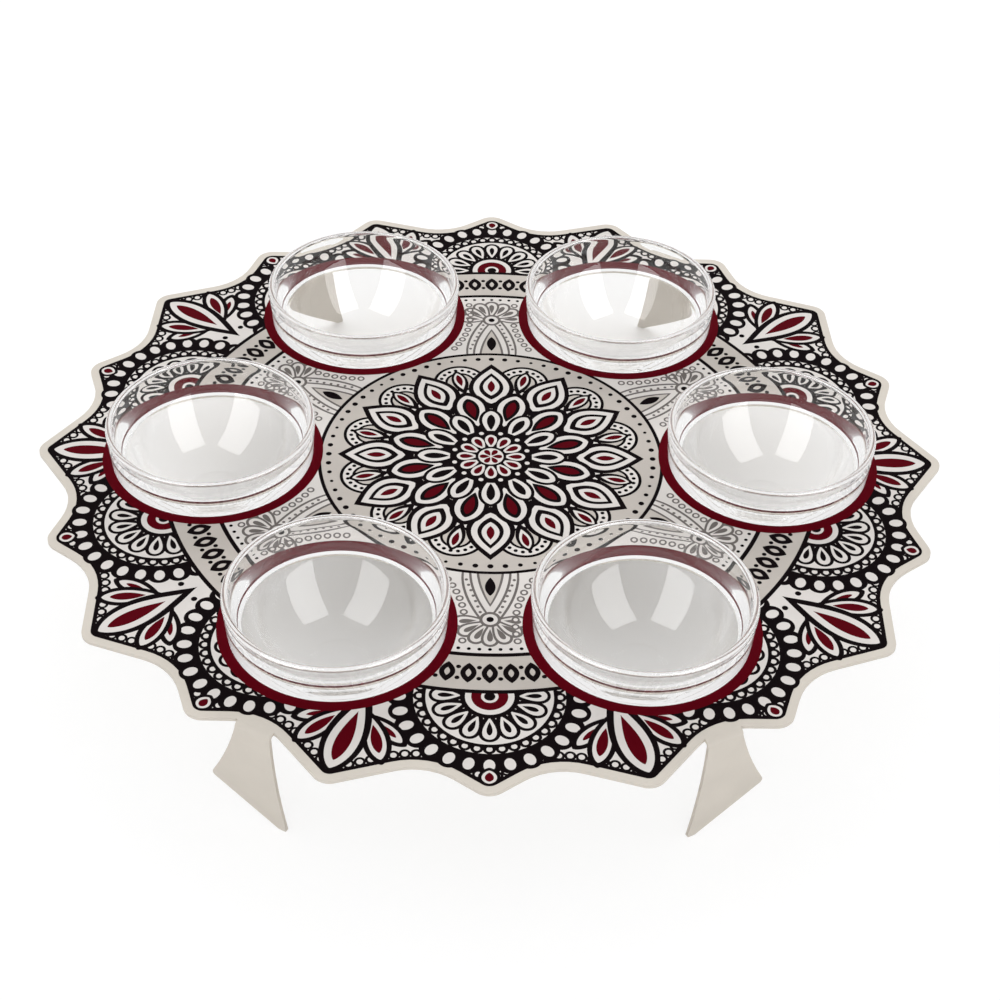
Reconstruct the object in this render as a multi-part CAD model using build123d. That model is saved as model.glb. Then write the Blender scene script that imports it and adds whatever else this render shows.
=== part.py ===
"""A footed serving plate, cut and bent from one metal sheet, with six glass bowls standing in its holes.

Millimetres. +Z is up, the origin is on the table under the plate's middle, and the front is towards -Y.
"""
import math
import os
from build123d import *

# Plate: sheet, height and wavy outline
SHEET = 1.5
PLATE_TOP = 52.0
LOBE_PAIRS = 10
VALLEY_RADIUS = 181.5
CORNER_RISE = 18.0
DROP_RISE = 13.5
CORNER_ROUND = 7.5
DROP_ROUND = 8.0
VALLEY_ROUND = 26.0
VALLEY_TURN = 10.6

# Legs: tabs of the same sheet, bent down at the valley beside two front and two back corners
LEG_CORNER = 8
LEG_STANDOFF = 4.5
LEG_BEND_INSIDE = 1.0
LEG_ROOT = 10.0
LEG_NECK_HALF = 7.9
LEG_HEEL_OUT = 21.6
LEG_HEEL_HEIGHT = 16.6
LEG_FLANK_OUT = 13.0
LEG_FLANK_HEIGHT = 34.4
LEG_TOE_IN = 12.8
LEG_FOOT_WIDTH = 3.6
LEG_WAIST_IN = 9.2
LEG_HEEL_ROUND = 2.2
LEG_FOOT_ROUND = 0.6

# Bowls: a band that stands on the plate and a body that hangs through the hole
BOWL_INSET = 58.7
RIM_RADIUS = 45.5
RIM_WALL = 3.0
BAND_HEIGHT = 18.8
BAND_TAPER = 1.3
BAND_EDGE_ROUND = 0.8
SHOULDER = 3.0
HOLE_CLEARANCE = 0.5
NECK_DROP = 1.0
BOWL_DEPTH = 23.2
FLOOR_GLASS = 3.0
FLOOR_RADIUS = 4.0
FLOOR_PULL = 28.0
INSIDE_STRAIGHT = 2.4
KNEE_PULL = 7.5
BASE_RADIUS = 8.0
BASE_FLAT = 0.3
OUTSIDE_RISE = 4.0

BOWL_NAMES = ("right", "back_right", "back_left", "left", "front_left", "front_right")

# What follows from those sizes
PITCH = 360.0 / LOBE_PAIRS
BAND_FOOT_RADIUS = RIM_RADIUS - BAND_TAPER
BODY_RADIUS = BAND_FOOT_RADIUS - SHOULDER
HOLE_RADIUS = BODY_RADIUS + HOLE_CLEARANCE
BOWL_CIRCLE = VALLEY_RADIUS - BOWL_INSET
BOWL_PITCH = 360.0 / len(BOWL_NAMES)


def polar(radius, degrees):
    """A point of the plate's plane, by its distance from the middle and its angle from +X."""
    turn = math.radians(degrees)
    return Vector(radius * math.cos(turn), radius * math.sin(turn))


def rounded(before, corner, after, radius):
    """The start, middle and end of an arc that takes the place of a sharp corner."""
    to_before = (before - corner).normalized()
    to_after = (after - corner).normalized()
    half = math.radians(to_before.get_angle(to_after)) / 2
    bisector = (to_before + to_after).normalized()
    centre = corner + bisector * (radius / math.sin(half))
    reach = radius / math.tan(half)
    return corner + to_before * reach, centre - bisector * radius, corner + to_after * reach


def touch(start, centre, radius, side):
    """Where a line from start touches a circle, on its left (side 1) or right (side -1)."""
    away = centre - start
    turn = math.asin(radius / away.length)
    reach = math.sqrt(away.length**2 - radius**2)
    return start + away.normalized().rotate(Axis.Z, side * math.degrees(turn)) * reach


def lobe(degrees, rise, tip_round, before, after):
    """The tip arc of one lobe, tangent to the straight flanks that rise from its two valleys."""
    tip = VALLEY_RADIUS + rise
    centre = polar(tip - tip_round, degrees)
    start = touch(before, centre, tip_round, -1)
    end = touch(after, centre, tip_round, 1)
    return start, polar(tip, degrees), end


def outline():
    """The wavy edge: corner lobes and drop lobes in turn, with a rounded valley between each two."""
    lobes = []
    valleys = []
    for index in range(LOBE_PAIRS):
        corner = index * PITCH
        lobes.append((corner, CORNER_RISE, CORNER_ROUND))
        valleys.append(polar(VALLEY_RADIUS, corner + VALLEY_TURN))
        lobes.append((corner + PITCH / 2, DROP_RISE, DROP_ROUND))
        valleys.append(polar(VALLEY_RADIUS, corner + PITCH - VALLEY_TURN))
    tips = [lobe(*shape, valleys[number - 1], valleys[number]) for number, shape in enumerate(lobes)]
    edges = []
    for tip, valley, following in zip(tips, valleys, tips[1:] + tips[:1]):
        dip = rounded(tip[2], valley, following[0], VALLEY_ROUND)
        edges.append(ThreePointArc(*tip))
        edges.append(Line(tip[2], dip[0]))
        edges.append(ThreePointArc(*dip))
        edges.append(Line(dip[2], following[0]))
    return make_face(Curve() + edges)


def bowl_angle(index):
    """The direction of a bowl from the plate's middle."""
    return index * BOWL_PITCH


def leg():
    """One leg, at the front right: a strip that runs out from the sheet, its bend, and the upright fin."""
    degrees = LEG_CORNER * PITCH + VALLEY_TURN
    outward = polar(1.0, degrees)
    inward_side = outward.cross(Vector(0, 0, 1))
    bend_start = VALLEY_RADIUS + LEG_STANDOFF
    bend_outside = LEG_BEND_INSIDE + SHEET
    bend_bottom = PLATE_TOP - bend_outside
    under = PLATE_TOP - SHEET

    # Section of strip and bend, seen along the edge
    middle = math.sqrt(0.5)
    centre = Vector(bend_start, bend_bottom)
    section = make_face(
        Curve()
        + [
            Line((bend_start - LEG_ROOT, PLATE_TOP), (bend_start, PLATE_TOP)),
            ThreePointArc(
                (bend_start, PLATE_TOP),
                centre + Vector(middle, middle) * bend_outside,
                (bend_start + bend_outside, bend_bottom),
            ),
            Line((bend_start + bend_outside, bend_bottom), (bend_start + LEG_BEND_INSIDE, bend_bottom)),
            ThreePointArc(
                (bend_start + LEG_BEND_INSIDE, bend_bottom),
                centre + Vector(middle, middle) * LEG_BEND_INSIDE,
                (bend_start, under),
            ),
            Line((bend_start, under), (bend_start - LEG_ROOT, under)),
            Line((bend_start - LEG_ROOT, under), (bend_start - LEG_ROOT, PLATE_TOP)),
        ]
    )
    side_view = Plane(origin=(0, 0, 0), x_dir=outward, z_dir=inward_side)
    strip = extrude(side_view * section, LEG_NECK_HALF, both=True)

    # Fin, seen from outside: x is towards the plate's centre line and y is up
    heel = Vector(-LEG_HEEL_OUT, LEG_HEEL_HEIGHT)
    foot_start = Vector(LEG_TOE_IN - LEG_FOOT_WIDTH, 0)
    foot_end = Vector(LEG_TOE_IN, 0)
    fin = make_face(
        Curve()
        + [
            ThreePointArc((-LEG_NECK_HALF, bend_bottom), (-LEG_FLANK_OUT, LEG_FLANK_HEIGHT), heel),
            Line(heel, foot_start),
            Line(foot_start, foot_end),
            ThreePointArc(foot_end, (LEG_WAIST_IN, bend_bottom / 2), (LEG_NECK_HALF, bend_bottom)),
            Line((LEG_NECK_HALF, bend_bottom), (-LEG_NECK_HALF, bend_bottom)),
        ]
    )
    fin = fillet(fin.vertices().sort_by_distance(heel)[0], LEG_HEEL_ROUND)
    fin = fillet(fin.vertices().sort_by_distance(foot_end)[0], LEG_FOOT_ROUND)
    outside_view = Plane(
        origin=outward * (bend_start + bend_outside), x_dir=inward_side, z_dir=outward * -1
    )
    return strip + extrude(outside_view * fin, SHEET)


def plate():
    """The sheet with its holes and its four legs."""
    sheet = Pos(0, 0, PLATE_TOP - SHEET) * extrude(outline(), SHEET)
    for index in range(len(BOWL_NAMES)):
        at = polar(BOWL_CIRCLE, bowl_angle(index))
        hole = Cylinder(HOLE_RADIUS, 3 * SHEET)
        sheet -= Pos(at.X, at.Y, PLATE_TOP - SHEET / 2) * hole
    front_right = leg()
    front_left = mirror(front_right, Plane.YZ)
    back_right = mirror(front_right, Plane.XZ)
    back_left = mirror(front_left, Plane.XZ)
    return sheet + [front_right, front_left, back_right, back_left]


def bowl():
    """One bowl about the Z axis, with the underside of its band at z = 0."""
    lip = RIM_WALL / 2
    lip_base = BAND_HEIGHT - lip
    base = -BOWL_DEPTH
    floor = base + FLOOR_GLASS

    # Inside: a short wall parallel to the band, then one smooth curve to the flat floor
    band_lean = BAND_TAPER / (lip_base - BAND_EDGE_ROUND)
    inner_lip = Vector(RIM_RADIUS - RIM_WALL, lip_base)
    down_wall = Vector(-band_lean, -1.0)
    knee = inner_lip + down_wall * INSIDE_STRAIGHT
    floor_end = Vector(FLOOR_RADIUS, floor)
    inside = Bezier(floor_end, floor_end + Vector(FLOOR_PULL, 0), knee + down_wall * KNEE_PULL, knee)

    # Outside of the body: an ellipse about a point a little over the lip
    outside_top = lip_base + OUTSIDE_RISE
    outside_deep = outside_top - base + BASE_FLAT
    neck_turn = -math.asin((outside_top + NECK_DROP) / outside_deep)
    base_turn = -math.asin((outside_top - base) / outside_deep)
    body = EllipticalCenterArc(
        (BASE_RADIUS, outside_top),
        (BODY_RADIUS - BASE_RADIUS) / math.cos(neck_turn),
        outside_deep,
        math.degrees(base_turn),
        arc_size=math.degrees(neck_turn - base_turn),
    )

    round_middle = BAND_EDGE_ROUND * (1 - math.sqrt(0.5))
    section = make_face(
        Curve()
        + [
            Line((0, floor), floor_end),
            inside,
            Line(knee, inner_lip),
            ThreePointArc(inner_lip, (RIM_RADIUS - lip, BAND_HEIGHT), (RIM_RADIUS, lip_base)),
            Line((RIM_RADIUS, lip_base), (BAND_FOOT_RADIUS, BAND_EDGE_ROUND)),
            ThreePointArc(
                (BAND_FOOT_RADIUS, BAND_EDGE_ROUND),
                (BAND_FOOT_RADIUS - round_middle, round_middle),
                (BAND_FOOT_RADIUS - BAND_EDGE_ROUND, 0),
            ),
            Line((BAND_FOOT_RADIUS - BAND_EDGE_ROUND, 0), (BODY_RADIUS, 0)),
            Line((BODY_RADIUS, 0), body @ 1),
            body,
            Line(body @ 0, (0, base)),
            Line((0, base), (0, floor)),
        ]
    )
    return revolve(Plane.XZ * section, Axis.Z)


os.makedirs("parts", exist_ok=True)
export_step(plate(), "parts/plate.step")
one_bowl = bowl()
for number, name in enumerate(BOWL_NAMES):
    place = polar(BOWL_CIRCLE, bowl_angle(number))
    export_step(Pos(place.X, place.Y, PLATE_TOP) * one_bowl, f"parts/bowl_{name}.step")
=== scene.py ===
"""Looks of a footed plate with a printed ornament and six glass bowls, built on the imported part.

The print is laid out in millimetres about the plate's middle and turned into thin slabs of ink.
"""
import math

import bpy
from mathutils import Matrix, Quaternion, Vector
from mathutils.geometry import delaunay_2d_cdt


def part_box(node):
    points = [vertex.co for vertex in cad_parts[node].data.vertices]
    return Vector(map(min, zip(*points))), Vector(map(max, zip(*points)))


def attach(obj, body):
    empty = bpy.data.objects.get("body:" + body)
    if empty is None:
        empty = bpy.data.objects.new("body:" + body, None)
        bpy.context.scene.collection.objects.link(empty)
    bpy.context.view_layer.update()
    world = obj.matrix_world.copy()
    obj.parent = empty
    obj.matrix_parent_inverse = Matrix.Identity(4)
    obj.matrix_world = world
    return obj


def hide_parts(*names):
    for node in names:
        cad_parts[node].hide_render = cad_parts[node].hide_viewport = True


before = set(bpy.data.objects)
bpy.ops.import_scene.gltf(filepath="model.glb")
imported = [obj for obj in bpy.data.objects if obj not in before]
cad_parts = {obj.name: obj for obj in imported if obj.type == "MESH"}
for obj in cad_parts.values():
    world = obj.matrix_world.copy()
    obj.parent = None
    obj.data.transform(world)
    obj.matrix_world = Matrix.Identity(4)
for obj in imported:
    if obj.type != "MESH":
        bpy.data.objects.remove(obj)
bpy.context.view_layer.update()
scene = bpy.context.scene

# Metres in a millimetre, the plate's middle and top in millimetres, and the two sides of a mirrored motif
MM = 0.001
MIDDLE = (0.0, 0.0)
PLATE_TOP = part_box("plate")[1].z / MM
HANDS = (-1, 1)

# Wavy edge of the plate, as in the part: tip radius, tip rounding and turn from tip to valley of each lobe
LOBE_PAIRS = 10
LOBE_TURN = 180.0 / LOBE_PAIRS
CORNER = (199.5, 7.5, 10.6)
DROP = (195.0, 8.0, 7.4)
VALLEY_RADIUS = 181.5
VALLEY_ROUND = 26.0
EDGE_STEPS = 8

# Bowls as in the part, with the seat at z = 0, but raised over the ink and a little less tall
BOWLS = ("right", "back_right", "back_left", "left", "front_left", "front_right")
BOWL_PITCH = 360.0 / len(BOWLS)
BOWL_CIRCLE = 122.8
SEAT_GAP = 0.08
RIM_RADIUS = 45.5
RIM_WALL = 3.0
BAND_HEIGHT = 18.7
BAND_FOOT_RADIUS = 44.2
BAND_EDGE_ROUND = 0.8
BODY_RADIUS = 41.2
NECK_DROP = 1.0
BOWL_DEPTH = 23.2
FLOOR_GLASS = 3.0
FLOOR_RADIUS = 4.0
FLOOR_PULL = 28.0
INSIDE_STRAIGHT = 2.4
KNEE_PULL = 7.5
BASE_RADIUS = 8.0
BASE_FLAT = 0.3
OUTSIDE_RISE = 4.0

# Fineness of the bowls' mesh
INSIDE_STEPS = 56
OUTSIDE_STEPS = 36
LIP_STEPS = 14
FOOT_STEPS = 6
WALL_STEPS = 8
BOWL_SEGMENTS = 160
SHARP_DEGREES = 28.0

# Inks of the print, each with its material's name and its colour; bare lets the coat show
BLACK = "ink_black"
GREY = "ink_grey"
WHITE = "ink_white"
RED = "ink_red"
LINE = "ink_line"
BARE = "bare"
INK_LOOKS = {
    BLACK: ("black_ink", (17, 11, 13)),
    GREY: ("grey_ink", (196, 189, 182)),
    WHITE: ("white_ink", (221, 216, 212)),
    RED: ("red_ink", (86, 3, 16)),
    LINE: ("line_ink", (112, 106, 103)),
}
COAT_COLOUR = (215, 208, 198)
INK_FILM = 0.05
MERGE_WITHIN = 1e-5
ROUND_WITHIN = 0.015
FEWEST_CORNERS = 14

shapes = []


def polar(radius, degrees):
    """A point of the plate, by its distance from the middle and its angle from +X."""
    turn = math.radians(degrees)
    return radius * math.cos(turn), radius * math.sin(turn)


def along(origin, degrees, distance):
    """The point that far from origin in that direction."""
    step = polar(distance, degrees)
    return origin[0] + step[0], origin[1] + step[1]


def part_way(start, end, share):
    """The point at that share of the way from start to end."""
    return start[0] + (end[0] - start[0]) * share, start[1] + (end[1] - start[1]) * share


def placed(points, origin, degrees):
    """Points of a motif, drawn with y outward, set at origin and turned so that y points that way."""
    turn = math.radians(degrees)
    c, s = math.cos(turn), math.sin(turn)
    return [(origin[0] + x * s + y * c, origin[1] - x * c + y * s) for x, y in points]


def fan(degrees, step, each_side):
    """Directions in even steps to both sides of a middle one."""
    return [degrees + step * count for count in range(-each_side, each_side + 1)]


def disc(radius, centre=MIDDLE):
    """A circle, with enough corners to look round."""
    count = max(FEWEST_CORNERS, math.ceil(math.pi / math.acos(1.0 - ROUND_WITHIN / radius)))
    return [along(centre, 360.0 * step / count, radius) for step in range(count)]


def arc(centre, wide, high, start, end, steps):
    """Points of an elliptical arc, between two angles in degrees."""
    turns = [math.radians(start + (end - start) * step / steps) for step in range(steps + 1)]
    return [(centre[0] + wide * math.cos(turn), centre[1] + high * math.sin(turn)) for turn in turns]


def bezier(start, start_pull, end_pull, end, steps):
    """Points of a cubic curve with those two handles."""
    points = []
    for step in range(steps + 1):
        t = step / steps
        shares = ((1 - t) ** 3, 3 * t * (1 - t) ** 2, 3 * t**2 * (1 - t), t**3)
        corners = (start, start_pull, end_pull, end)
        points.append(tuple(sum(s * c[axis] for s, c in zip(shares, corners)) for axis in (0, 1)))
    return points


def between(start, end):
    """Points along a straight line, without its ends, which keep a smoothed wall flat."""
    return [part_way(start, end, step / WALL_STEPS) for step in range(1, WALL_STEPS)]


def leaf(start, length, width, base=1.0, tip=1.0, steps=28):
    """A leaf or petal along y; powers under 1 round an end and powers over 1 draw it out."""
    peak = base / (base + tip)
    top = peak**base * (1.0 - peak) ** tip
    right = []
    for step in range(1, steps):
        share = (1.0 - math.cos(math.pi * step / steps)) / 2.0
        half = width / 2.0 * share**base * (1.0 - share) ** tip / top
        right.append((half, start + length * share))
    left = [(-x, y) for x, y in reversed(right)]
    return [(0.0, start)] + right + [(0.0, start + length)] + left


def add(ink, points):
    """One shape of the print, over those added before."""
    shapes.append((ink, points))


def put(ink, points, origin, degrees):
    """A motif at a place and direction."""
    add(ink, placed(points, origin, degrees))


def discs(layers, centre=MIDDLE):
    """Discs one over the other, each given as its ink and radius."""
    for ink, radius in layers:
        add(ink, disc(radius, centre))


def leaves(layers, origin, degrees):
    """Leaves one over the other, each given as its ink and what leaf() takes."""
    for ink, *form in layers:
        put(ink, leaf(*form), origin, degrees)


def flank(tip, tip_round, reach):
    """The turn from a lobe's middle line to the outward normal of its flank."""
    valley = polar(VALLEY_RADIUS, reach)
    in_line = valley[0] - (tip - tip_round)
    lean = math.atan2(valley[1], in_line)
    return math.degrees(lean - math.acos(tip_round / math.hypot(in_line, valley[1])))


def edge_line(inset):
    """The plate's wavy edge, moved inward: an arc round each tip and each valley, joined by the flanks."""
    points = []
    for step in range(2 * LOBE_PAIRS):
        turn = LOBE_TURN * step
        lobe, following = (CORNER, DROP) if step % 2 == 0 else (DROP, CORNER)
        tip, tip_round, reach = lobe
        start = turn + flank(*lobe)
        end = turn + LOBE_TURN - flank(*following)
        tip_centre = polar(tip - tip_round, turn)
        tip_bend = tip_round - inset
        points += arc(tip_centre, tip_bend, tip_bend, turn - flank(*lobe), start, EDGE_STEPS)
        depth_out = VALLEY_ROUND / math.cos(math.radians(start - end) / 2.0)
        valley_centre = along(polar(VALLEY_RADIUS, turn + reach), (start + end) / 2.0, depth_out)
        valley_bend = -VALLEY_ROUND - inset
        points += arc(valley_centre, valley_bend, valley_bend, start, end, EDGE_STEPS)
    return points


def spaced(points, gap):
    """Points about that far from each other along a closed line."""
    found = []
    left = 0.0
    for start, end in zip(points, points[1:] + points[:1]):
        length = math.dist(start, end)
        while left < length:
            found.append(part_way(start, end, left / length))
            left += gap
        left -= length
    return found


# Arch at a drop lobe, sized about its own centre, and the leaf in the lobe's tip, sized about the middle
ARCH_CIRCLE = 146.0
PEARL_STEP = 12.75
PEARLS_EACH_SIDE = 8
PEARL_CIRCLE = 34.9
PEARL_GROUND = 5.1
PEARL = (32.4, 5.9, 4.4, 0.5, 0.5, 18)
ARCH_RIM = ((BLACK, 32.0), (WHITE, 29.6))
SCALLOP_STEP = 10.0
SCALLOPS_EACH_SIDE = 10
SCALLOP_CIRCLE = 27.2
SCALLOP_GROUND = 2.5
SCALLOP_EYE_CIRCLE = 27.3
SCALLOP_EYE = 1.2
ARCH_FIELD = ((BLACK, 26.4), (WHITE, 24.9))
ARCH_PETAL_STEP = 23.0
ARCH_PETALS_EACH_SIDE = 4
ARCH_PETAL_GROUND = (7.5, 16.2, 8.6, 1.1, 0.5)
ARCH_PETAL = (
    (WHITE, 11.0, 11.4, 5.6, 1.1, 0.5),
    (BLACK, 13.4, 6.8, 2.3, 1.1, 0.6),
)
ARCH_EYE = ((BLACK, 11.6), (WHITE, 9.6), (RED, 7.2), (WHITE, 3.4), (BLACK, 2.2))
TIP_LEAF = (
    (BLACK, 182.4, 9.0, 8.6, 0.7, 0.6),
    (WHITE, 183.8, 6.4, 5.8, 0.7, 0.6),
    (RED, 184.8, 4.4, 3.4, 0.8, 0.6),
)


def arch(degrees):
    """A round arch of pearls over a fan of petals, at a drop lobe."""
    centre = polar(ARCH_CIRCLE, degrees)
    pearls = fan(degrees, PEARL_STEP, PEARLS_EACH_SIDE)
    for turn in pearls:
        add(BLACK, disc(PEARL_GROUND, along(centre, turn, PEARL_CIRCLE)))
    for turn in pearls:
        put(WHITE, leaf(*PEARL), centre, turn)
    discs(ARCH_RIM, centre)
    scallops = fan(degrees, SCALLOP_STEP, SCALLOPS_EACH_SIDE)
    for turn in scallops:
        add(BLACK, disc(SCALLOP_GROUND, along(centre, turn, SCALLOP_CIRCLE)))
    for turn in scallops:
        add(WHITE, disc(SCALLOP_EYE, along(centre, turn, SCALLOP_EYE_CIRCLE)))
    discs(ARCH_FIELD, centre)
    petals = fan(degrees, ARCH_PETAL_STEP, ARCH_PETALS_EACH_SIDE)
    for turn in petals:
        put(BLACK, leaf(*ARCH_PETAL_GROUND), centre, turn)
    for turn in petals:
        leaves(ARCH_PETAL, centre, turn)
    discs(ARCH_EYE, centre)
    leaves(TIP_LEAF, MIDDLE, degrees)


# Spray at a corner, sized from its foot: a side leaf has a lean, a place aside and up, a length and a width
SPRAY_CIRCLE = 148.0
SIDE_LEAVES = (
    (60.0, 4.0, 14.5, 22.5, 9.0),
    (30.0, 4.0, 13.0, 28.0, 11.0),
)
SIDE_POWERS = (1.0, 0.7)
MIDDLE_LEAF = (
    (BLACK, 0.0, 47.8, 17.0, 1.2, 0.75),
    (WHITE, 7.0, 38.0, 12.2, 1.2, 0.75),
    (RED, 14.5, 26.4, 6.2, 1.2, 0.75),
)
SPRAY_DOT = 1.3
SPRAY_DOT_PLACE = (5.4, 4.6)

# Layers of a side leaf: ink, start, and how much shorter and narrower than the whole leaf
SIDE_LAYERS = (
    (BLACK, 0.0, 0.0, 0.0),
    (WHITE, 3.4, 6.0, 4.0),
    (RED, 7.4, 13.4, 6.8),
)


def spray(degrees):
    """Five almond leaves at a corner, the middle one over the rest."""
    foot = polar(SPRAY_CIRCLE, degrees)
    for lean, aside, rise, length, width in SIDE_LEAVES:
        for hand in HANDS:
            base = placed([(aside * hand, rise)], foot, degrees)[0]
            for ink, start, shorter, narrower in SIDE_LAYERS:
                form = leaf(start, length - shorter, width - narrower, *SIDE_POWERS)
                put(ink, form, base, degrees - lean * hand)
    leaves(MIDDLE_LEAF, foot, degrees)
    aside, rise = SPRAY_DOT_PLACE
    for hand in HANDS:
        add(BLACK, disc(SPRAY_DOT, placed([(aside * hand, rise)], foot, degrees)[0]))


# Lines and beads along the edge, by how far inside it they run
EDGE_BLACK_INSET = 3.6
EDGE_WHITE_INSET = 5.2
EDGE_BEAD_INSET = 6.6
EDGE_BEAD_GAP = 4.3
EDGE_BEAD = 2.3
EDGE_BEAD_EYE = 1.25


def border():
    """Arches and leaf sprays in turn, inside a beaded line along the wavy edge."""
    add(BLACK, edge_line(EDGE_BLACK_INSET))
    add(WHITE, edge_line(EDGE_WHITE_INSET))
    beads = spaced(edge_line(EDGE_BEAD_INSET), EDGE_BEAD_GAP)
    for bead in beads:
        add(BLACK, disc(EDGE_BEAD, bead))
    for bead in beads:
        add(WHITE, disc(EDGE_BEAD_EYE, bead))
    for pair in range(LOBE_PAIRS):
        arch(LOBE_TURN * (2 * pair + 1))
    for pair in range(LOBE_PAIRS):
        spray(LOBE_TURN * 2 * pair)


# Grey band and its row of lozenges
BAND_OUTSIDE = ((BLACK, 144.5), (GREY, 142.6))
BAND_INSIDE = ((BLACK, 124.5), (WHITE, 122.6))
LOZENGE = (
    (BLACK, 128.2, 10.8, 6.4),
    (GREY, 131.4, 4.4, 2.2),
)
LOZENGE_STEP = 3.6
LOZENGES_EACH_SIDE = 2
LOZENGE_DOT = 1.0
LOZENGE_DOT_CIRCLES = (130.6, 136.6)


def band():
    """The grey band between two black lines, with a row of lozenges between each two bowls."""
    discs(BAND_OUTSIDE)
    for step in range(len(BOWLS)):
        gap = BOWL_PITCH * (step + 0.5)
        row = fan(gap, LOZENGE_STEP, LOZENGES_EACH_SIDE)
        for turn in row:
            leaves(LOZENGE, MIDDLE, turn)
        for place in range(len(row) + 1):
            turn = gap + LOZENGE_STEP * (place - LOZENGES_EACH_SIDE - 0.5)
            for circle in LOZENGE_DOT_CIRCLES:
                add(BLACK, disc(LOZENGE_DOT, polar(circle, turn)))
    discs(BAND_INSIDE)


# Rows of rings beside the bowls, sized about the bowl, and where they start and end from the plate's middle
ROW_CIRCLE = 51.2
ROW_STEP = 4.6
ROW_EACH_SIDE = 9
ROW_TURN = 52.0
ROW_FROM = 80.0
ROW_TO = 119.0
ROW_RING = ((LINE, 1.7), (WHITE, 0.9))

# Nested arches between two bowls: length, width and fill of each, and how much smaller the fill is
NEST_FOOT = 60.0
NEST = ((50.0, 24.0, WHITE), (43.0, 17.6, WHITE), (36.0, 11.6, GREY))
NEST_SHORTER = 1.7
NEST_NARROWER = 2.0
NEST_POWERS = (0.55, 0.94)
NEST_DOT = 0.7
NEST_DOTS = 8
NEST_DOT_PLACE = (9.9, 80.0)
NEST_DOT_STEP = (-0.98, 3.2)
NEST_DROP = (78.6, 11.0, 4.4, 1.0, 0.9)

# Dots along the grey band, and the flower at the tip of the arches
RIM_DOT = 0.8
RIM_DOT_CIRCLE = 120.4
RIM_DOT_STEP = 2.0
RIM_DOTS_EACH_SIDE = 6
FLOWER_CIRCLE = 103.4
FLOWER_STEP = 28.0
FLOWER_PETALS_EACH_SIDE = 3
FLOWER_PETAL = (
    (LINE, 1.0, 14.6, 7.4, 1.2, 0.5),
    (WHITE, 3.0, 11.4, 5.2, 1.2, 0.5, 18),
    (LINE, 5.4, 7.2, 2.4, 1.2, 0.5, 16),
)
FLOWER_EYE = ((LINE, 4.4), (WHITE, 3.1), (BLACK, 1.5))


def filigree(degrees):
    """Nested grey arches, a flower and beads on white, between two bowls."""
    for hand in HANDS:
        bowl_turn = degrees + BOWL_PITCH / 2.0 * hand
        bowl = polar(BOWL_CIRCLE, bowl_turn)
        for step in range(-ROW_EACH_SIDE, ROW_EACH_SIDE + 1):
            spot = along(bowl, bowl_turn + 180.0 - ROW_STEP * hand * step - ROW_TURN * hand, ROW_CIRCLE)
            if ROW_FROM < math.hypot(*spot) < ROW_TO:
                discs(ROW_RING, spot)
    for length, width, fill in NEST:
        put(LINE, leaf(NEST_FOOT, length, width, *NEST_POWERS), MIDDLE, degrees)
        inner = leaf(NEST_FOOT, length - NEST_SHORTER, width - NEST_NARROWER, *NEST_POWERS)
        put(fill, inner, MIDDLE, degrees)
    for step in range(NEST_DOTS):
        x, y = (place + move * step for place, move in zip(NEST_DOT_PLACE, NEST_DOT_STEP))
        for hand in HANDS:
            add(LINE, disc(NEST_DOT, placed([(x * hand, y)], MIDDLE, degrees)[0]))
    put(BLACK, leaf(*NEST_DROP), MIDDLE, degrees)
    for turn in fan(degrees, RIM_DOT_STEP, RIM_DOTS_EACH_SIDE):
        add(BLACK, disc(RIM_DOT, polar(RIM_DOT_CIRCLE, turn)))
    heart = polar(FLOWER_CIRCLE, degrees)
    for turn in fan(degrees, FLOWER_STEP, FLOWER_PETALS_EACH_SIDE):
        leaves(FLOWER_PETAL, heart, turn)
    discs(FLOWER_EYE, heart)


# Flower in the middle, twelve-fold, from its rim inward
FOLDS = 12
FOLD_TURN = 360.0 / FOLDS
MEDALLION_FIELD = ((BLACK, 76.6), (GREY, 75.0))
RIM_BEADS = 72
RIM_BEAD_CIRCLE = 71.8
RIM_BEAD_LEAST = 0.8
RIM_BEAD_SWELL = 0.5
CUP_CIRCLE = 55.6
CUP = ((BLACK, 12.4), (WHITE, 11.0))
CUP_DOT = 0.9
CUP_DOT_CIRCLE = 9.0
CUP_DOT_STEP = 20.0
CUP_DOTS_EACH_SIDE = 4
CUP_EYE = ((BLACK, 7.0), (GREY, 5.8))
CUP_LEAF = (
    (BLACK, 46.0, 18.4, 7.4, 1.0, 0.8),
    (WHITE, 50.0, 12.6, 4.8, 1.0, 0.8),
    (RED, 52.6, 8.6, 2.8, 1.0, 0.8),
)
OUTER_PETAL = (
    (BLACK, 34.0, 34.0, 21.0, 0.9, 1.1),
    (WHITE, 38.0, 26.6, 16.6, 0.9, 1.1),
    (BLACK, 41.0, 20.0, 11.2, 0.9, 1.1),
    (WHITE, 44.0, 14.6, 7.6, 0.9, 1.1),
    (RED, 46.6, 8.6, 3.4, 0.9, 1.0),
)
WIDE_GROUND = 33.0
WIDE_PETAL_GROUND = (18.0, 29.6, 16.8, 1.0, 0.7)
WIDE_PETAL = (
    (WHITE, 22.0, 23.0, 12.4, 1.0, 0.7),
    (BLACK, 25.6, 17.0, 7.4, 1.0, 0.7),
    (RED, 28.4, 12.0, 4.2, 1.0, 0.7),
)
INNER_PETAL = (
    (BLACK, 13.0, 21.0, 11.0, 1.0, 0.65),
    (WHITE, 15.6, 16.8, 8.0, 1.0, 0.65),
    (BLACK, 18.6, 11.2, 3.8, 1.0, 0.7),
)
CORE_GROUND = 18.2
CORE_DOT = 1.1
CORE_DOT_CIRCLE = 16.6
CORE_PETAL = (
    (WHITE, 5.6, 9.6, 5.4, 1.0, 0.55, 18),
    (RED, 7.6, 6.2, 2.9, 1.0, 0.55, 18),
)
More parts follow.
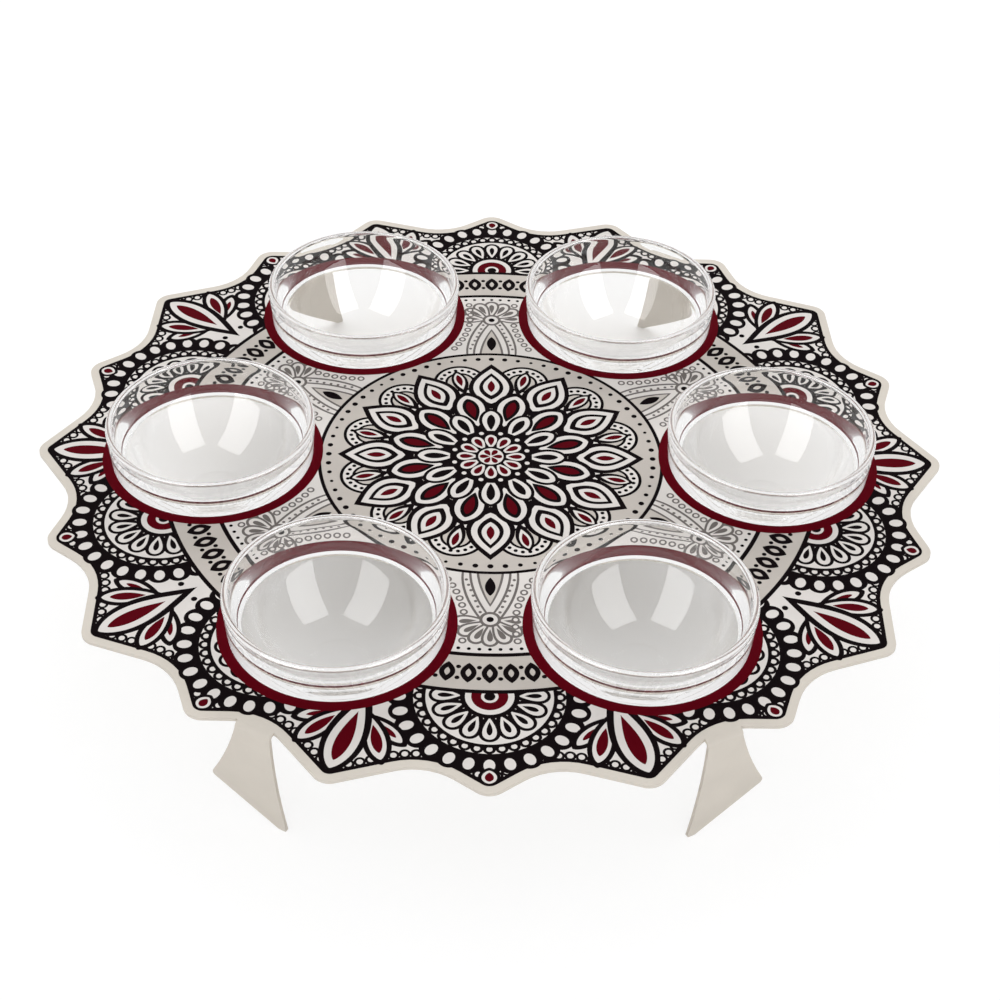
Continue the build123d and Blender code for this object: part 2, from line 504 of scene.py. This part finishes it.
CORE_EYE = ((BLACK, 6.8), (WHITE, 5.6))
CORE_SEED = (0.6, 4.4, 2.5, 1.0, 0.5, 14)
CORE_SEEDS = 6


def medallion():
    """The twelve-fold flower in the middle."""
    discs(MEDALLION_FIELD)
    for step in range(RIM_BEADS):
        turn = 360.0 / RIM_BEADS * step
        swell = abs(math.cos(math.radians(FOLDS / 2.0 * turn)))
        add(BLACK, disc(RIM_BEAD_LEAST + RIM_BEAD_SWELL * swell, polar(RIM_BEAD_CIRCLE, turn)))
    turns = [FOLD_TURN * step for step in range(FOLDS)]
    half_turns = [turn + FOLD_TURN / 2.0 for turn in turns]
    for turn in half_turns:
        cup = polar(CUP_CIRCLE, turn)
        discs(CUP, cup)
        for dot_turn in fan(turn, CUP_DOT_STEP, CUP_DOTS_EACH_SIDE):
            add(BLACK, disc(CUP_DOT, along(cup, dot_turn, CUP_DOT_CIRCLE)))
        discs(CUP_EYE, cup)
    for turn in half_turns:
        leaves(CUP_LEAF, MIDDLE, turn)
    for turn in turns:
        leaves(OUTER_PETAL, MIDDLE, turn)
    add(BLACK, disc(WIDE_GROUND))
    for turn in half_turns:
        put(BLACK, leaf(*WIDE_PETAL_GROUND), MIDDLE, turn)
    for turn in half_turns:
        leaves(WIDE_PETAL, MIDDLE, turn)
    for turn in turns:
        leaves(INNER_PETAL, MIDDLE, turn)
    add(BLACK, disc(CORE_GROUND))
    for turn, half_turn in zip(turns, half_turns):
        add(WHITE, disc(CORE_DOT, polar(CORE_DOT_CIRCLE, half_turn)))
        leaves(CORE_PETAL, MIDDLE, turn)
    discs(CORE_EYE)
    for step in range(CORE_SEEDS):
        put(RED, leaf(*CORE_SEED), MIDDLE, 360.0 / CORE_SEEDS * step)


# Red ring on the coat round each bowl
RING = ((RED, 48.4), (BARE, 42.8))


def rings():
    """The red ring round each bowl, which ends under the bowl's shoulder."""
    for step in range(len(BOWLS)):
        discs(RING, polar(BOWL_CIRCLE, BOWL_PITCH * step))


def lay_print():
    """Every shape of the print, from the edge inward, with the rings over the rest."""
    border()
    band()
    for step in range(len(BOWLS)):
        filigree(BOWL_PITCH * (step + 0.5))
    medallion()
    rings()


def ink_slab(name, points, triangles):
    """A thin closed slab over those triangles."""
    used = sorted({corner for triangle in triangles for corner in triangle})
    number = {corner: index for index, corner in enumerate(used)}
    count = len(used)
    verts = []
    for height in ((PLATE_TOP + INK_FILM) * MM, PLATE_TOP * MM):
        verts += [(points[corner].x * MM, points[corner].y * MM, height) for corner in used]
    faces = []
    sides = set()
    for triangle in triangles:
        a, b, c = (number[corner] for corner in triangle)
        faces.append((a, b, c))
        faces.append((c + count, b + count, a + count))
        sides.update(((a, b), (b, c), (c, a)))
    for a, b in sides:
        if (b, a) not in sides:
            faces.append((b, a, a + count, b + count))
    mesh = bpy.data.meshes.new(name)
    mesh.from_pydata(verts, [], faces)
    piece = bpy.data.objects.new(name, mesh)
    scene.collection.objects.link(piece)
    return piece


def print_pieces():
    """Every ink of the print as a piece, each part of the plate in the ink laid on it last."""
    coords = []
    outlines = []
    for _, points in shapes:
        outlines.append(list(range(len(coords), len(coords) + len(points))))
        coords += [Vector(point) for point in points]
    only_inside = 1
    found = delaunay_2d_cdt(coords, [], outlines, only_inside, MERGE_WITHIN, True)
    points, _, triangles, _, _, sources = found
    by_ink = {}
    for triangle, source in zip(triangles, sources):
        ink = shapes[max(source)][0] if source else BARE
        if ink != BARE:
            by_ink.setdefault(ink, []).append(tuple(triangle))
    return {ink: ink_slab(ink, points, inked) for ink, inked in by_ink.items()}


def bowl_profile():
    """The bowl's section, from the middle of its floor over the lip to the middle of its base."""
    lip = RIM_WALL / 2.0
    lip_base = BAND_HEIGHT - lip
    base = -BOWL_DEPTH
    inner_lip = (RIM_RADIUS - RIM_WALL, lip_base)
    band_lean = (RIM_RADIUS - BAND_FOOT_RADIUS) / (lip_base - BAND_EDGE_ROUND)
    knee = (inner_lip[0] - band_lean * INSIDE_STRAIGHT, lip_base - INSIDE_STRAIGHT)
    knee_pull = (knee[0] - band_lean * KNEE_PULL, knee[1] - KNEE_PULL)
    floor = base + FLOOR_GLASS
    floor_pull = (FLOOR_RADIUS + FLOOR_PULL, floor)
    inside = bezier((FLOOR_RADIUS, floor), floor_pull, knee_pull, knee, INSIDE_STEPS)
    outside_top = lip_base + OUTSIDE_RISE
    outside_deep = outside_top - base + BASE_FLAT
    neck_turn = -math.asin((outside_top + NECK_DROP) / outside_deep)
    base_turn = -math.asin((outside_top - base) / outside_deep)
    outside_wide = (BODY_RADIUS - BASE_RADIUS) / math.cos(neck_turn)
    lip_arc = arc((RIM_RADIUS - lip, lip_base), lip, lip, 180.0, 0.0, LIP_STEPS)
    edge = (BAND_FOOT_RADIUS - BAND_EDGE_ROUND, BAND_EDGE_ROUND)
    edge_arc = arc(edge, BAND_EDGE_ROUND, BAND_EDGE_ROUND, 0.0, -90.0, FOOT_STEPS)
    turns = math.degrees(neck_turn), math.degrees(base_turn)
    outside = arc((BASE_RADIUS, outside_top), outside_wide, outside_deep, *turns, OUTSIDE_STEPS)
    section = [(0.0, floor)] + inside + between(knee, inner_lip) + lip_arc
    section += between(lip_arc[-1], edge_arc[0]) + edge_arc + [(BODY_RADIUS, 0.0)] + outside
    return section + [(0.0, base)]


def lathe(name, section):
    """A closed mesh of that section turned about Z, in metres."""
    rings_of_verts = section[1:-1]
    verts = [(0.0, 0.0, section[0][1] * MM)]
    for radius, height in rings_of_verts:
        for step in range(BOWL_SEGMENTS):
            x, y = polar(radius * MM, 360.0 * step / BOWL_SEGMENTS)
            verts.append((x, y, height * MM))
    verts.append((0.0, 0.0, section[-1][1] * MM))
    last = len(verts) - 1
    faces = []
    for step in range(BOWL_SEGMENTS):
        after = (step + 1) % BOWL_SEGMENTS
        faces.append((0, 1 + step, 1 + after))
        for ring in range(len(rings_of_verts) - 1):
            low = 1 + ring * BOWL_SEGMENTS
            high = low + BOWL_SEGMENTS
            faces.append((low + step, high + step, high + after, low + after))
        end = 1 + (len(rings_of_verts) - 1) * BOWL_SEGMENTS
        faces.append((end + step, last, end + after))
    mesh = bpy.data.meshes.new(name)
    mesh.from_pydata(verts, [], faces)
    mesh.polygons.foreach_set("use_smooth", [True] * len(mesh.polygons))
    mesh.set_sharp_from_angle(angle=math.radians(SHARP_DEGREES))
    return mesh


# Satin surfaces: paler and darker patches, and a fine orange peel whose depth is in metres
SATIN_ROUGHNESS = 0.5
PATCH_SCALE = 60.0
PATCH_DETAIL = 4.0
PATCH_AMOUNT = 0.03
PATCH_FROM = 0.3
PATCH_TO = 0.7
PEEL_SCALE = 900.0
PEEL_DETAIL = 2.0
PEEL_DEPTH = 0.0002
INK_PEEL = 0.1
INK_SHEEN = 0.01
COAT_PEEL = 0.2
COAT_SHEEN = 0.03

# Glass, and how much light its shadow lets through
GLASS_IOR = 1.5
GLASS_SHADOW = 0.76

# Floor, in metres, and the share of white in it: seen past the object or in gloss, and seen through glass
FLOOR_REACH = 60.0
FLOOR_GREY = 0.92
FLOOR_GLOW = 1.1
OPEN_WHITE = 0.7
GLASS_WHITE = 0.05

# World: light of the room by a ray's height, dimmer towards the front, and the white seen behind everything
ROOM_STRENGTH = 0.84
ROOM_BY_HEIGHT = ((0.0, 0.3), (0.35, 1.0), (0.75, 0.95), (0.95, 0.6))
ROOM_FRONT = (-0.7, 0.5)
ROOM_BACK = (0.2, 1.0)
PAPER_STRENGTH = 0.92

# Colour sockets of a Mix node, by number, because its other sockets have the same names
MIX_FIRST = 6
MIX_SECOND = 7
MIX_RESULT = 2

# Lamps face this place, in metres
LIT_PLACE = (0.0, 0.0, 0.05)


def grey(value):
    """An opaque grey, as the shaders take it."""
    return value, value, value, 1.0


def linear(red, green, blue):
    """A colour seen as those 0 to 255 values, as the shaders take it."""
    channels = [value / 255.0 for value in (red, green, blue)]
    return [c / 12.92 if c <= 0.04045 else ((c + 0.055) / 1.055) ** 2.4 for c in channels] + [1.0]


def new_material(name):
    """An empty node material with its output."""
    material = bpy.data.materials.new(name)
    material.use_nodes = True
    nodes = material.node_tree.nodes
    nodes.clear()
    return material, nodes, material.node_tree.links, nodes.new("ShaderNodeOutputMaterial")


def noise(nodes, links, scale, detail):
    """A noise texture in object space."""
    place = nodes.new("ShaderNodeTexCoord")
    texture = nodes.new("ShaderNodeTexNoise")
    texture.inputs["Scale"].default_value = scale
    texture.inputs["Detail"].default_value = detail
    links.new(place.outputs["Object"], texture.inputs["Vector"])
    return texture.outputs["Fac"]


def mottled(nodes, links, colour):
    """That colour, a little lighter and darker in patches."""
    ramp = nodes.new("ShaderNodeValToRGB")
    dark, pale = ramp.color_ramp.elements
    dark.position = PATCH_FROM
    pale.position = PATCH_TO
    dark.color = [c * (1.0 - PATCH_AMOUNT) for c in colour[:3]] + [1.0]
    pale.color = [min(1.0, c * (1.0 + PATCH_AMOUNT)) for c in colour[:3]] + [1.0]
    links.new(noise(nodes, links, PATCH_SCALE, PATCH_DETAIL), ramp.inputs["Fac"])
    return ramp.outputs["Color"]


def satin(name, colour, peel, sheen):
    """A satin coat or ink with a fine orange peel."""
    material, nodes, links, output = new_material(name)
    shader = nodes.new("ShaderNodeBsdfPrincipled")
    shader.inputs["Roughness"].default_value = SATIN_ROUGHNESS
    shader.inputs["Specular IOR Level"].default_value = sheen
    links.new(mottled(nodes, links, linear(*colour)), shader.inputs["Base Color"])
    bump = nodes.new("ShaderNodeBump")
    bump.inputs["Strength"].default_value = peel
    bump.inputs["Distance"].default_value = PEEL_DEPTH
    links.new(noise(nodes, links, PEEL_SCALE, PEEL_DETAIL), bump.inputs["Height"])
    links.new(bump.outputs["Normal"], shader.inputs["Normal"])
    links.new(shader.outputs["BSDF"], output.inputs["Surface"])
    return material


def mixed(nodes, links, share, first, second):
    """A shader that goes from the first to the second with that share."""
    mix = nodes.new("ShaderNodeMixShader")
    links.new(share, mix.inputs["Fac"])
    links.new(first, mix.inputs[1])
    links.new(second, mix.inputs[2])
    return mix.outputs["Shader"]


def either(nodes, links, first, second):
    """1 for a ray of one kind or the other."""
    total = nodes.new("ShaderNodeMath")
    total.use_clamp = True
    links.new(first, total.inputs[0])
    links.new(second, total.inputs[1])
    return total.outputs["Value"]


def clear_glass():
    """Clear pressed glass that lets shadow rays through."""
    material, nodes, links, output = new_material("clear_glass")
    shader = nodes.new("ShaderNodeBsdfPrincipled")
    shader.inputs["Base Color"].default_value = grey(1.0)
    shader.inputs["Roughness"].default_value = 0.0
    shader.inputs["IOR"].default_value = GLASS_IOR
    shader.inputs["Transmission Weight"].default_value = 1.0
    clear = nodes.new("ShaderNodeBsdfTransparent")
    clear.inputs["Color"].default_value = grey(GLASS_SHADOW)
    in_shadow = nodes.new("ShaderNodeLightPath").outputs["Is Shadow Ray"]
    surface = mixed(nodes, links, in_shadow, shader.outputs["BSDF"], clear.outputs["BSDF"])
    links.new(surface, output.inputs["Surface"])
    return material


def white_floor():
    """White to the camera, in gloss and, with more of the plate's shadow left, in glass."""
    material, nodes, links, output = new_material("white_floor")
    diffuse = nodes.new("ShaderNodeBsdfDiffuse")
    diffuse.inputs["Color"].default_value = grey(FLOOR_GREY)
    glow = nodes.new("ShaderNodeEmission")
    glow.inputs["Color"].default_value = grey(1.0)
    glow.inputs["Strength"].default_value = FLOOR_GLOW
    path = nodes.new("ShaderNodeLightPath")
    in_open = either(nodes, links, path.outputs["Is Camera Ray"], path.outputs["Is Glossy Ray"])
    # A ray through sharp glass counts as gloss too, so this brings its share from the open one to its own
    in_glass = nodes.new("ShaderNodeMath")
    in_glass.operation = "MULTIPLY"
    in_glass.inputs[1].default_value = GLASS_WHITE - OPEN_WHITE
    links.new(path.outputs["Is Transmission Ray"], in_glass.inputs[0])
    share = nodes.new("ShaderNodeMath")
    share.operation = "MULTIPLY_ADD"
    share.inputs[1].default_value = OPEN_WHITE
    links.new(in_open, share.inputs[0])
    links.new(in_glass.outputs["Value"], share.inputs[2])
    surface = mixed(nodes, links, share.outputs["Value"], diffuse.outputs["BSDF"], glow.outputs["Emission"])
    links.new(surface, output.inputs["Surface"])
    return material


def dress(piece, material):
    """Gives a piece its one material."""
    piece.data.materials.clear()
    piece.data.materials.append(material)


def printed_plate():
    """The inks on the plate, which ride with it, and the coat under them."""
    lay_print()
    inks = print_pieces()
    looks = {ink: satin(name, colour, INK_PEEL, INK_SHEEN) for ink, (name, colour) in INK_LOOKS.items()}
    for ink, piece in inks.items():
        dress(piece, looks[ink])
        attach(piece, "plate")
    dress(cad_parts["plate"], satin("cream_coat", COAT_COLOUR, COAT_PEEL, COAT_SHEEN))


def glass_bowls():
    """A glass bowl in the place of each plain one, clear of the ink under its shoulder."""
    glass = clear_glass()
    mesh = lathe("bowl_mesh", bowl_profile())
    mesh.materials.append(glass)
    for step, name in enumerate(BOWLS):
        bowl = bpy.data.objects.new(f"glass_{name}", mesh)
        scene.collection.objects.link(bowl)
        x, y = polar(BOWL_CIRCLE, BOWL_PITCH * step)
        bowl.location = (x * MM, y * MM, (PLATE_TOP + SEAT_GAP) * MM)
        bpy.context.view_layer.update()
        dress(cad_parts[f"bowl_{name}"], glass)
        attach(bowl, f"bowl_{name}")
        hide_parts(f"bowl_{name}")


def stage():
    """The floor that the plate stands on."""
    corners = [(FLOOR_REACH * x, FLOOR_REACH * y, 0.0) for x, y in ((-1, -1), (1, -1), (1, 1), (-1, 1))]
    mesh = bpy.data.meshes.new("floor")
    mesh.from_pydata(corners, [], [(0, 1, 2, 3)])
    floor = bpy.data.objects.new("floor", mesh)
    scene.collection.objects.link(floor)
    dress(floor, white_floor())


def softbox(name, place, wide, high, power, roll=0.0, card=False):
    """An area light that faces the plate, rolled on its axis; a card shows only as a reflection in glass."""
    light = bpy.data.lights.new(name, "AREA")
    light.shape = "RECTANGLE"
    light.size = wide
    light.size_y = high
    light.energy = power
    lamp = bpy.data.objects.new(name, light)
    scene.collection.objects.link(lamp)
    lamp.location = place
    facing = (Vector(place) - Vector(LIT_PLACE)).to_track_quat("Z", "Y")
    lamp.rotation_euler = (facing @ Quaternion((0.0, 0.0, 1.0), math.radians(roll))).to_euler()
    lamp.visible_transmission = False
    lamp.visible_diffuse = not card
    lamp.visible_glossy = card


def lamps():
    """Two cards that shine in the bowls, and soft light from the sides, the front and the back."""
    softbox("card_left", (-0.94, -0.82, 1.05), wide=1.0, high=2.4, power=34.0, roll=15.0, card=True)
    softbox("card_right", (0.96, -0.82, 1.05), wide=1.0, high=2.4, power=34.0, roll=-15.0, card=True)
    softbox("softbox_left", (-1.25, 0.1, 0.8), wide=1.2, high=0.8, power=3.0)
    softbox("softbox_right", (1.25, 0.1, 0.8), wide=1.2, high=0.8, power=3.0)
    softbox("softbox_front", (0.0, -1.25, 0.55), wide=2.2, high=0.7, power=6.8)
    softbox("softbox_low_back", (0.0, 1.2, 0.36), wide=2.2, high=0.6, power=3.0)
    softbox("softbox_high_back", (0.0, 1.1, 0.8), wide=2.2, high=0.8, power=7.0)


def room_shade(nodes, links):
    """The room's brightness in each direction: dimmer low down, overhead and towards the front."""
    direction = nodes.new("ShaderNodeTexCoord")
    parts = nodes.new("ShaderNodeSeparateXYZ")
    links.new(direction.outputs["Generated"], parts.inputs["Vector"])
    rise = nodes.new("ShaderNodeValToRGB")
    stops = rise.color_ramp.elements
    for stop, (height, shade) in zip(stops, (ROOM_BY_HEIGHT[0], ROOM_BY_HEIGHT[-1])):
        stop.position = height
        stop.color = grey(shade)
    for height, shade in ROOM_BY_HEIGHT[1:-1]:
        stops.new(height).color = grey(shade)
    links.new(parts.outputs["Z"], rise.inputs["Fac"])
    depth = nodes.new("ShaderNodeMapRange")
    depth.inputs["From Min"].default_value, depth.inputs["To Min"].default_value = ROOM_FRONT
    depth.inputs["From Max"].default_value, depth.inputs["To Max"].default_value = ROOM_BACK
    links.new(parts.outputs["Y"], depth.inputs["Value"])
    darker = nodes.new("ShaderNodeMix")
    darker.data_type = "RGBA"
    darker.blend_type = "DARKEN"
    darker.inputs["Factor"].default_value = 1.0
    links.new(rise.outputs["Color"], darker.inputs[MIX_FIRST])
    links.new(depth.outputs["Result"], darker.inputs[MIX_SECOND])
    return darker.outputs[MIX_RESULT]


def studio():
    """The world: the room's light on the object, and white paper where it shows, also in gloss and glass."""
    world = bpy.data.worlds.new("studio")
    scene.world = world
    world.use_nodes = True
    nodes = world.node_tree.nodes
    links = world.node_tree.links
    nodes.clear()
    room = nodes.new("ShaderNodeBackground")
    room.inputs["Strength"].default_value = ROOM_STRENGTH
    links.new(room_shade(nodes, links), room.inputs["Color"])
    paper = nodes.new("ShaderNodeBackground")
    paper.inputs["Color"].default_value = grey(1.0)
    paper.inputs["Strength"].default_value = PAPER_STRENGTH
    path = nodes.new("ShaderNodeLightPath")
    in_open = either(nodes, links, path.outputs["Is Camera Ray"], path.outputs["Is Glossy Ray"])
    seen = either(nodes, links, in_open, path.outputs["Is Transmission Ray"])
    surface = mixed(nodes, links, seen, room.outputs["Background"], paper.outputs["Background"])
    output = nodes.new("ShaderNodeOutputWorld")
    links.new(surface, output.inputs["Surface"])


# Camera, from a fit to the photo: turns in degrees, moves in metres, lens and sensor in millimetres
VIEW_TURN = -1.0855
VIEW_RISE = 40.7807
VIEW_ROLL = 1.6333
VIEW_DISTANCE = 0.86763
VIEW_SIDE = 0.00402
VIEW_LIFT = -0.01931
LENS = 70.44
SENSOR = 36.0


def photo_camera():
    """The camera, turned about the plate's middle, rolled, and then moved a little sideways and down."""
    turn, rise, roll = (math.radians(degrees) for degrees in (VIEW_TURN, VIEW_RISE, VIEW_ROLL))
    back = Vector((
        math.sin(turn) * math.cos(rise),
        -math.cos(turn) * math.cos(rise),
        math.sin(rise),
    ))
    level = Vector((math.cos(turn), math.sin(turn), 0.0))
    upright = back.cross(level)
    right = math.cos(roll) * level + math.sin(roll) * upright
    up = -math.sin(roll) * level + math.cos(roll) * upright
    camera_data = bpy.data.cameras.new("camera")
    camera_data.lens = LENS
    camera_data.sensor_width = SENSOR
    camera = bpy.data.objects.new("camera", camera_data)
    scene.collection.objects.link(camera)
    eye = Vector((0.0, 0.0, PLATE_TOP * MM)) + VIEW_DISTANCE * back + VIEW_SIDE * right + VIEW_LIFT * up
    camera.matrix_world = Matrix.Translation(eye) @ Matrix((right, up, back)).transposed().to_4x4()
    scene.camera = camera


# Bounces that let light through the walls of several bowls
GLASS_BOUNCES = 40
SHADOW_BOUNCES = 16


def settings():
    """Plain colours, and enough bounces for glass behind glass."""
    scene.view_settings.view_transform = "Standard"
    scene.cycles.use_denoising = True
    scene.cycles.max_bounces = GLASS_BOUNCES
    scene.cycles.transmission_bounces = GLASS_BOUNCES
    scene.cycles.glossy_bounces = GLASS_BOUNCES
    scene.cycles.transparent_max_bounces = SHADOW_BOUNCES


printed_plate()
glass_bowls()
stage()
lamps()
studio()
photo_camera()
settings()
